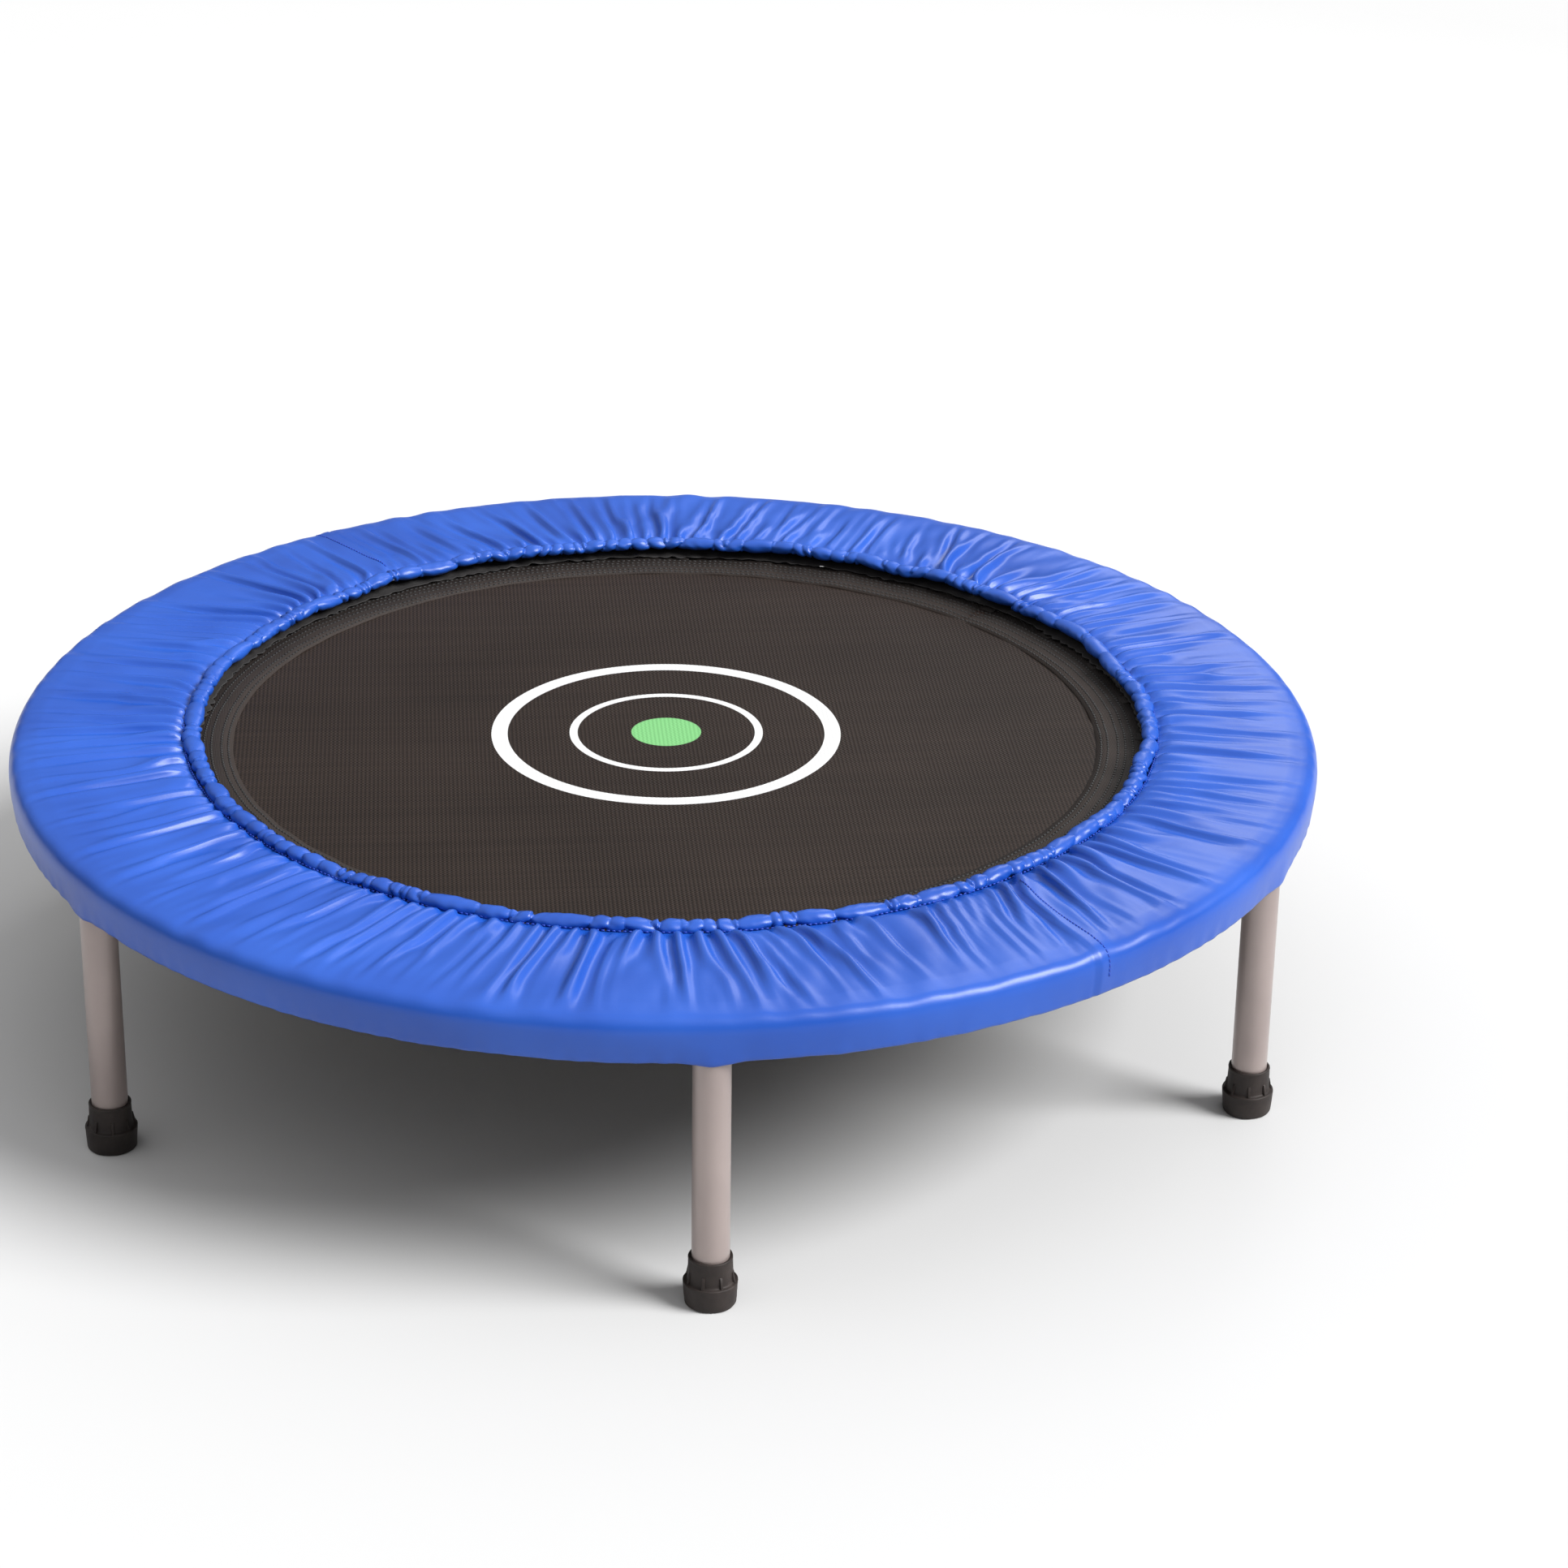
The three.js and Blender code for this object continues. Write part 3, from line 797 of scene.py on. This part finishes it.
def top_folds():
    """The gathered top of the cover, by a small cloth solver: (segments, rows, 3).

    The cloth is longer round than its stitch line, so the spare length buckles into
    radial folds over the soft foam. Distance constraints hold its length round, across
    and on the bias; bending and a soft foundation set how wide the folds are.
    """
    count, rows = COVER_SEGMENTS, len(COVER)
    free_rows = len(TOP) + 4
    radius = COVER[:, 0]
    rest_z = COVER[None, :, 1]
    angle = around(count)
    arc = np.concatenate([[0], np.cumsum(np.linalg.norm(np.diff(COVER, axis=0), axis=1))])
    # gathers are uneven: the drawn-in edge shifts a little along the stitch line
    shift = np.radians(2.2) * noise_ring(angle, seed=21, waves=(3, 12), fade=0.3)
    shift = shift + np.radians(0.35) * noise_ring(angle, seed=22, waves=(30, 90), fade=0.3)
    theta = angle[:, None] + shift[:, None] * (1 - smoothstep(360, 465, radius))[None]
    # folds start out leaning a little one way or the other
    lean = noise_ring(angle, seed=41, waves=(3, 16), fade=0.2)[:, None]
    lean = theta + lean * (radius[None] - 362) / 420
    near = 1 - smoothstep(368, 410, radius)
    fine = 0.8 * noise_ring(lean, seed=31, waves=(100, 180), fade=0.2)
    broad = 0.8 * noise_ring(lean, seed=32, waves=(40, 90), fade=0.2)
    start = fine * (0.35 + 0.65 * near[None]) + broad
    envelope = smoothstep(361.5, 370, radius) * (1 - smoothstep(440, 474, radius))
    points = polar(radius[None], theta, rest_z + start * envelope[None])

    # 1 where the cloth is free, 0 at the stitch line and over the rim
    free = np.ones((count, rows, 1))
    free[:, 0] = 0
    free[:, free_rows:] = 0
    # rest lengths: round the ring with the spare cloth, and across it
    spare = 0.45 * np.clip(1 - (radius - 362) / 116, 0, 1)
    spare = spare + 0.030 * (1 - smoothstep(466, 480, radius))
    local = 1 + 0.30 * noise_ring(angle, seed=71, waves=(5, 24), fade=0.2)
    local = np.clip(local, 0.35, 1.8)
    even = TAU * radius / count
    gap = (np.roll(theta, -1, 0) - theta) % TAU * radius[None]
    hoop = np.maximum(gap, 0.6 * even[None]) * (1 + spare[None] * local[:, None])
    mean_hoop = hoop.mean(0)
    across = np.diff(arc) * 1.004

    steps, passes = 240, 2
    growth_share = 0.7  # of the steps, in which the spare length is let in
    damping, top_speed = 0.96, 1.0
    length_hold, spacing_hold, bias_hold = 0.9, 0.7, 0.25
    spacing_limits = ((2, 1.70), (3, 2.20))  # neighbours apart, least distance in gaps
    bend_round = (0.05 * (0.7 + 0.3 * smoothstep(370, 450, radius)))[None, :, None]
    bend_axes = np.array([0.3, 0.3, 1.0])
    bend_across = 0.04
    # foundation: pull to rest, and extra beyond a depth below and a height above it
    foam_pull, sink_limit, sink_push, rise_limit, rise_push = 0.008, 4.0, 0.25, 6.0, 0.12

    def hold(first, second, rest, stiffness, only_short=False):
        """Moves paired points towards their rest distance."""
        delta = points[second] - points[first]
        length = np.sqrt((delta * delta).sum(-1, keepdims=True))
        free_a, free_b = free[first], free[second]
        weight = free_a + free_b
        weight = np.where(weight == 0, 1, weight)
        error = np.minimum(length - rest, 0) if only_short else length - rest
        move = stiffness * error / np.maximum(length, 1e-9) / weight
        moved_a = points[first] + free_a * move * delta
        moved_b = points[second] - free_b * move * delta
        points[first], points[second] = moved_a, moved_b

    velocity = np.zeros_like(points)
    for step in range(steps):
        velocity *= damping
        before = points.copy()
        points += velocity * free
        grown = min(1.0, (step + 1) / (growth_share * steps))
        mean_gap = even + (mean_hoop - even) * grown
        local_gap = gap + (hoop - gap) * grown
        bias = np.sqrt(mean_gap[:-1] ** 2 + across**2)[None, :, None]
        for _ in range(passes):
            for i in (0, 1):
                a = np.arange(i, count, 2)
                hold(a, (a + 1) % count, local_gap[a][:, :, None], length_hold)
            # neighbours two and three apart can't fold back on one another
            for apart, limit in spacing_limits:
                for i in range(2 * apart):
                    a = np.arange(i, count, 2 * apart)
                    rest = mean_gap[None, :, None] * limit
                    hold(a, (a + apart) % count, rest, spacing_hold, only_short=True)
            for j in (0, 1):
                row = np.arange(j, rows - 1, 2)
                first, second = (slice(None), row), (slice(None), row + 1)
                hold(first, second, across[None, row, None], length_hold)
            for side in (1, -1):
                for i in (0, 1):
                    a = np.arange(i, count, 2)
                    b = (a + side) % count
                    for j in (0, 1):
                        row = np.arange(j, rows - 1, 2)
                        hold(np.ix_(a, row), np.ix_(b, row + 1), bias[:, row], bias_hold)
            bend = 0.5 * (np.roll(points, 1, 0) + np.roll(points, -1, 0)) - points
            points += bend_round * bend * free * bend_axes
            bend = np.zeros_like(points)
            bend[:, 1:-1] = 0.5 * (points[:, :-2] + points[:, 2:]) - points[:, 1:-1]
            points += bend_across * bend * free
            dz = points[..., 2] - rest_z
            points[..., 2] -= free[..., 0] * (
                foam_pull * dz
                + sink_push * np.minimum(dz + sink_limit, 0)
                + rise_push * np.maximum(dz - rise_limit, 0)
            )
        velocity = (points - before) * free
        speed = np.sqrt((velocity * velocity).sum(-1, keepdims=True))
        velocity *= np.minimum(1, top_speed / np.maximum(speed, 1e-9))
    # one light pass along the ring takes the solver's grain off the creases
    eased = 0.5 * points + 0.25 * (np.roll(points, 1, 0) + np.roll(points, -1, 0))
    return points + (eased - points) * free


def degrees_from(angle, centre):
    """Signed degrees from a centre (in degrees) to an angle (in radians)."""
    return (np.degrees(angle) - centre + 180) % 360 - 180


def skirt():
    """The cover's skirt, ruffled towards its lower edge and pushed out at the legs."""
    angle = around(COVER_SEGMENTS)[:, None]
    radius, z = SKIRT.T
    depth = np.clip((202.0 - z) / 18.0, 0, 1)
    ruffle = noise_ring(angle, seed=51, waves=(90, 220), fade=0.1) * 0.32 * depth**1.5
    low = noise_ring(angle, seed=52, waves=(8, 40), fade=0.2) * 0.8 * depth
    bumps = sum(np.exp(-((degrees_from(angle, leg) / 1.9) ** 2)) for leg in LEG_ANGLES)
    uneven = 0.18 * noise_ring(angle, seed=53, waves=(60, 120), fade=0.2)
    down = (low * 0.8 + uneven) * depth
    return polar(
        radius + ruffle + low * 0.6 - 0.2 + bumps * depth * 1.9,
        angle,
        z + down - bumps * depth * 2.2,
    )


def seam_stitches(cover, profile_radius):
    """A row of stitches beside each lapped seam, lying on the cover."""
    length, pitch, half_width = 2.3, 3.4, 0.45
    sink, rise = -0.25, 0.42
    faces = [[0, 1, 3, 2], [2, 3, 5, 4], [4, 5, 7, 6], [6, 7, 1, 0], [0, 2, 4, 6], [1, 7, 5, 3]]
    parts = []
    for seam in SEAM_ANGLES:
        i = int(round((seam % 360) / 360 * COVER_SEGMENTS)) + 3
        column = cover[i % COVER_SEGMENTS]
        beside = cover[(i + 1) % COVER_SEGMENTS]
        steps = np.linalg.norm(np.diff(column, axis=0), axis=1)
        arc = np.concatenate([[0], np.cumsum(steps)])
        place = arc[int(np.argmax(profile_radius > 372))]
        while place < arc[-9]:
            ends = []
            for at in (place, place + length):
                point = np.array([np.interp(at, arc, column[:, k]) for k in range(3)])
                side = np.array([np.interp(at, arc, beside[:, k]) for k in range(3)]) - point
                ends.append((point, side / np.linalg.norm(side)))
            (start, start_side), (end, _) = ends
            up = np.cross(end - start, start_side)
            up /= np.linalg.norm(up)
            # point up on the top, outwards on the steep skirt
            steep = abs(up[2]) <= 0.3
            if (up[:2] @ start[:2] if steep else up[2]) < 0:
                up = -up
            verts = []
            for (point, side), height in (
                (ends[0], sink), (ends[0], rise), (ends[1], rise), (ends[1], sink),
            ):
                verts.append(point - side * half_width + up * height)
                verts.append(point + side * half_width + up * height)
            parts.append((verts, faces))
            place += pitch
    verts, faces = joined(parts)
    obj = mesh_object("pad_cover_seam_stitches", (drawn(verts), faces), BLUE_THREAD)
    register(obj, "frame")


def pad_cover():
    """The blue cover from its inner tuck to the skirt's turned-in edge."""
    top = top_folds()
    rows = len(COVER)
    radius, z = COVER.T
    # folds stand up from the foam: what would sink into it is pressed flatter
    dz = top[..., 2] - z
    pressed = np.where(dz > 0, dz * 1.12, dz * 0.78)
    top[..., 2] = z + pressed + 0.5 * (radius < 465) * (radius > 366)
    cover = np.concatenate([top, skirt()], 1)
    angle = around(COVER_SEGMENTS)[:, None]
    radius = np.concatenate([radius, SKIRT[:, 0]])
    # unevenness where the folds run out over the tube
    run_out = smoothstep(372, 440, radius) * (1 - smoothstep(477, 481.5, radius))
    run_out[rows:] = 0
    slanted = angle + 0.00004 * (radius - 400) * 20
    cover[..., 2] += 0.55 * noise_ring(slanted, seed=61, waves=(40, 120), fade=0.3) * run_out
    # short crimps where the cloth is caught by the stitch line
    crimp = np.abs(noise_ring(angle, seed=65, waves=(110, 210), fade=0.1)) * 1.9 - 0.55
    fade = np.exp(-np.maximum(radius - 363, 0) / 9.5) * smoothstep(360.6, 364, radius)
    cover[..., 2] += crimp * fade * (radius < 420)
    # lapped radial seams: one end of the strip lies over the other, which shows as
    # a lift in z on the top and mostly outwards on the rim and skirt
    lapped = (radius > 371).astype(float)
    outward = np.zeros(len(radius))
    outward[rows - 5 :] = 1.0
    directions = cover[..., :2] / np.linalg.norm(cover[..., :2], axis=-1, keepdims=True)
    for seam in SEAM_ANGLES:
        a = degrees_from(angle, seam)
        over = 1.25 * np.exp(-((a / 1.1) ** 2))
        under = -0.5 * np.exp(-((a / 0.5) ** 2))
        lift = np.where(a >= 0, over, under) * lapped
        cover[..., 2] += lift * (1 - 0.8 * outward)
        cover[..., :2] += directions * (lift * outward * 0.9)[..., None]
    seam_stitches(cover, radius)
    # the top's edge is sewn in under the casing
    tuck = polar(357.6, angle, 213.9)
    cover = np.concatenate([tuck, cover], 1)
    faces = grid_faces(COVER_SEGMENTS, cover.shape[1])
    obj = mesh_object("pad_cover_top", (drawn(cover.reshape(-1, 3)), faces), BLUE)
    obj.data.flip_normals()
    solidify(obj, thickness=0.45, offset=-1.0)
    register(obj, "frame", "pad_cover")


def casing():
    """The ruched tunnel for the inner elastic, and the stitches along it."""
    segments, sides = 2600, 22
    mean_radius, gather_radius = 353.6, 353
    half_width, half_height = 6.3, 4.6
    theta = around(segments)
    # creases at uneven distances, each with its own depth and lean
    random = np.random.RandomState(8)
    gaps = []
    while sum(gaps) < TAU * gather_radius:
        gaps.append(float(np.clip(random.lognormal(math.log(13.5), 0.52), 5.0, 40)))
    creases = np.cumsum([0] + gaps)
    creases = creases / creases[-1] * TAU
    depth = random.rand(len(gaps)) * 0.65 + 0.35
    lean = (random.rand(len(gaps)) - 0.5) * 0.034
    side = (random.rand(len(gaps) + 1) - 0.5) * 1.5

    def puff_index(angle):
        return np.clip(np.searchsorted(creases, angle, side="right") - 1, 0, len(gaps) - 1)

    around_ring, phi = np.meshgrid(theta, around(sides), indexing="ij")
    # each crease leans a little as it goes round the tunnel
    k = puff_index(around_ring)
    size = np.clip((creases[k + 1] - creases[k]) * gather_radius / 16, 0.3, 1)
    leaning = (around_ring + lean[k] * np.sin(phi) * size) % TAU
    k = puff_index(leaning)
    start, end = creases[k], creases[k + 1]
    t = np.clip((leaning - start) / (end - start), 0, 1)
    width = (end - start) * gather_radius
    puff = np.sin(math.pi * t) ** 0.5
    pinch = np.where(t < 0.5, depth[k], depth[(k + 1) % len(gaps)])
    scale = 1 - 0.62 * pinch * (1 - puff) + 0.10 * puff * np.clip(width / 20, 0.3, 1.3)
    # short wrinkles run out of each crease and die away along the puff
    edge = np.minimum(t, 1 - t) * width
    scale += 0.055 * np.exp(-edge / 4.5) * np.sin(5 * phi + 40 * depth[k])
    scale += 0.035 * np.sin(3 * phi + 90 * depth[k] + edge * 0.15)
    twisted = around_ring + 0.012 * np.sin(phi * 2)
    scale += 0.035 * noise_ring(twisted, seed=81, waves=(120, 260), fade=0.2)
    scale += 0.05 * noise_ring(around_ring, seed=82, waves=(10, 40), fade=0.2)
    # the tunnel's centre line wanders, and each puff bulges to one side
    k = puff_index(theta)
    bulge = np.sin(math.pi * np.clip((theta - creases[k]) / (creases[k + 1] - creases[k]), 0, 1))
    wander = 1.5 * noise_ring(theta, seed=83, waves=(6, 34), fade=0.3) + side[k] * bulge
    height = 216.6 + 1.1 * noise_ring(theta, seed=84, waves=(6, 40), fade=0.3)
    verts = polar(
        mean_radius + wander[:, None] + half_width * scale * np.cos(phi),
        around_ring,
        height[:, None] + half_height * scale * np.sin(phi),
    ).reshape(-1, 3)
    faces = grid_faces(segments, sides, True, True)
    obj = mesh_object("pad_cover_casing", (drawn(verts), faces), BLUE)
    obj.data.flip_normals()
    register(obj, "frame")

    parts = []
    for angle in around(620):
        radius = 360.4 + np.interp(angle, theta, wander, period=TAU) * 0.3
        loop = stitch(
            radius, 215.6, length=2.6, half_width=0.42, inset=0.5, sink=0.3, rise=0.45
        )
        parts.append(turned(loop, math.degrees(angle)))
    verts, faces = joined(parts)
    obj = mesh_object("pad_cover_stitches", (drawn(verts), faces), BLUE_THREAD)
    register(obj, "frame")


def backing_cloth():
    """Black cloth under the foam, its inner edge in small scallops below the casing."""
    segments = 900
    angle = around(segments)[:, None]
    radii = np.array([350.0, 351.5, 353.5, 356.5, 360, 366, 380, 400, 420, 440, 452])
    near = 1 - smoothstep(350.5, 364, radii)
    scallops = np.abs(noise_ring(angle, seed=91, waves=(60, 130), fade=0.2))
    droop = 3.1 + 0.8 * noise_ring(angle, seed=92, waves=(70, 150), fade=0.2)
    uneven = 0.15 * noise_ring(angle, seed=93, waves=(20, 60))
    z = 211.2 - near * droop - uneven * (1 - near)
    # stay above the loops of the mat's edge, most where the cloth is drawn towards +X
    least = 207.9 + 0.9 * np.clip(np.cos(angle), 0, 1)
    verts = polar(radii - near * (3.2 * scallops - 0.4), angle, np.clip(z, least, 212.4))
    mesh = drawn(verts.reshape(-1, 3), lift=0.4), grid_faces(segments, len(radii))
    obj = mesh_object("pad_backing_cloth", mesh, BLACK)
    solidify(obj, thickness=0.35, offset=0.0)
    register(obj, "frame", "pad_backing")


def foam_ring():
    segments = 360
    angle = around(segments)[:, None]
    section = [  # (radius, z)
        (366.5, 212.2), (449.0, 212.0), (449.6, 213.4), (449.0, 214.4), (410, 214.7),
        (367.0, 214.2), (366.2, 213.2),
    ]
    radius, z = np.array(rounded(section, 0.8, 2)).T
    verts = polar(
        radius + 0.4 * noise_ring(angle, seed=95, waves=(5, 40)),
        angle,
        z + 0.15 * noise_ring(angle, seed=96, waves=(20, 80)),
    )
    mesh = drawn(verts.reshape(-1, 3), lift=0.8), grid_faces(segments, len(radius), True, True)
    obj = mesh_object("pad_foam_ring", mesh, FOAM)
    register(obj, "frame", "pad_foam")


def inner_cord():
    """The braided elastic cord in the casing."""
    segments, sides = 720, 12
    angle = around(segments)[:, None]
    phi = around(sides)
    braid = np.cos(3 * phi + angle * 240) * np.cos(3 * phi - angle * 240)
    radius = 1.55 + 0.12 * braid
    verts = polar(353.4 + radius * np.cos(phi), angle, 216.4 + radius * np.sin(phi))
    mesh = drawn(verts.reshape(-1, 3)), grid_faces(segments, sides, True, True)
    register(mesh_object("pad_inner_cord", mesh, ELASTIC), "frame", "inner_elastic")


def skirt_elastic():
    """Flat elastic sewn inside the skirt's lower edge."""
    segments = 720
    angle = around(segments)[:, None]
    radius, z = np.array([
        (478.6, 185.2), (479.2, 185.3), (479.9, 187.6), (480.1, 190.6), (479.5, 190.6),
        (479.2, 187.7),
    ]).T
    ruffle = 0.22 * noise_ring(angle, seed=97, waves=(120, 220), fade=0.1)
    verts = polar(radius + ruffle - 0.9, angle, z).reshape(-1, 3)
    mesh = verts, grid_faces(segments, len(radius), True, True)
    obj = mesh_object("pad_skirt_elastic", mesh, ELASTIC)
    register(obj, "frame", "skirt_elastic")


# ---------------------------------------------------------------- floor, light, camera
def add_object(name, data):
    obj = bpy.data.objects.new(name, data)
    bpy.context.scene.collection.objects.link(obj)
    return obj


def floor():
    half = 14.0
    data = bpy.data.meshes.new("floor")
    corners = [(-half, -half, 0), (half, -half, 0), (half, half, 0), (-half, half, 0)]
    data.from_pydata(corners, [], [[0, 1, 2, 3]])
    obj = add_object("floor", data)
    surface = Surface("pale_floor", base=(0.60, 0.60, 0.60), roughness=0.8)
    surface.set("Specular IOR Level", 0.1)
    data.materials.append(surface.material)


def studio_world():
    """A soft white dome, brightest overhead; the camera sees it as plain white."""
    world = bpy.data.worlds.new("studio")
    bpy.context.scene.world = world
    world.use_nodes = True
    nodes, link = world.node_tree.nodes, world.node_tree.links.new
    background = nodes["Background"]
    background.inputs["Color"].default_value = (1.0, 1.0, 1.0, 1)
    coordinates = nodes.new("ShaderNodeTexCoord")
    separate = nodes.new("ShaderNodeSeparateXYZ")
    gradient = nodes.new("ShaderNodeMapRange")
    for socket, value in (
        ("From Min", 0.0), ("From Max", 1.0),  # direction's z: horizon to overhead
        ("To Min", 0.03), ("To Max", 0.98),  # brightness
    ):
        gradient.inputs[socket].default_value = value
    light_path = nodes.new("ShaderNodeLightPath")
    brighter = nodes.new("ShaderNodeMath")
    brighter.operation = "MAXIMUM"
    link(coordinates.outputs["Generated"], separate.inputs[0])
    link(separate.outputs[2], gradient.inputs["Value"])
    link(gradient.outputs[0], brighter.inputs[0])
    link(light_path.outputs["Is Camera Ray"], brighter.inputs[1])
    link(brighter.outputs[0], background.inputs["Strength"])


def key_sun(azimuth, elevation, strength, spread):
    """A broad sun; its angles are in degrees."""
    light = bpy.data.lights.new("key", "SUN")
    light.energy = strength
    light.angle = math.radians(spread)
    obj = add_object("key", light)
    a, e = math.radians(azimuth), math.radians(elevation)
    towards = Vector((math.cos(a) * math.cos(e), math.sin(a) * math.cos(e), math.sin(e)))
    obj.rotation_euler = towards.to_track_quat("Z", "Y").to_euler()


def strip_light(location, target, width, length, power):
    light = bpy.data.lights.new("strip", "AREA")
    light.energy = power
    light.shape = "RECTANGLE"
    light.size = width
    light.size_y = length
    obj = add_object("strip", light)
    obj.location = location
    aim = Vector(target) - Vector(location)
    obj.rotation_euler = aim.to_track_quat("-Z", "Y").to_euler()


def camera(location, yaw, pitch, roll, orbit, lens):
    """Looks towards +Y, turned by yaw, down by pitch; then all orbits the z axis."""
    yaw, pitch, roll, orbit = (math.radians(a) for a in (yaw, pitch, roll, orbit))
    forward = np.array(
        [-math.sin(yaw) * math.cos(pitch), math.cos(yaw) * math.cos(pitch), -math.sin(pitch)]
    )
    right = np.cross(forward, [0, 0, 1.0])
    right /= np.linalg.norm(right)
    up = np.cross(right, forward)
    pose = np.eye(4)
    pose[:3, 0] = math.cos(roll) * right + math.sin(roll) * up
    pose[:3, 1] = -math.sin(roll) * right + math.cos(roll) * up
    pose[:3, 2] = -forward
    pose[:3, 3] = location
    data = bpy.data.cameras.new("camera")
    obj = add_object("camera", data)
    obj.matrix_world = Matrix((np.array(Matrix.Rotation(orbit, 4, "Z")) @ pose).tolist())
    data.sensor_width = 36.0
    data.lens = lens
    data.clip_start, data.clip_end = 0.05, 60.0
    bpy.context.scene.camera = obj


frame_tube()
frame_bosses()
legs()
springs()
mat_cloth()
mat_edge_band()
mat_edge_stitches()
mat_v_rings()
pad_cover()
casing()
backing_cloth()
foam_ring()
inner_cord()
skirt_elastic()

floor()
studio_world()
key_sun(azimuth=-22, elevation=42, strength=4.7, spread=30)
strip_light(
    location=(0.9, 1.9, 1.7), target=(0.0, 0.0, 0.2), width=0.5, length=2.2, power=9.0
)
bpy.context.scene.view_settings.view_transform = "Standard"
camera(
    location=(0.0, -2.70795, 1.39484), yaw=-1.8697, pitch=24.4592, roll=0.8790,
    orbit=-3.6522, lens=91.05708075,
)

bpy.context.view_layer.update()
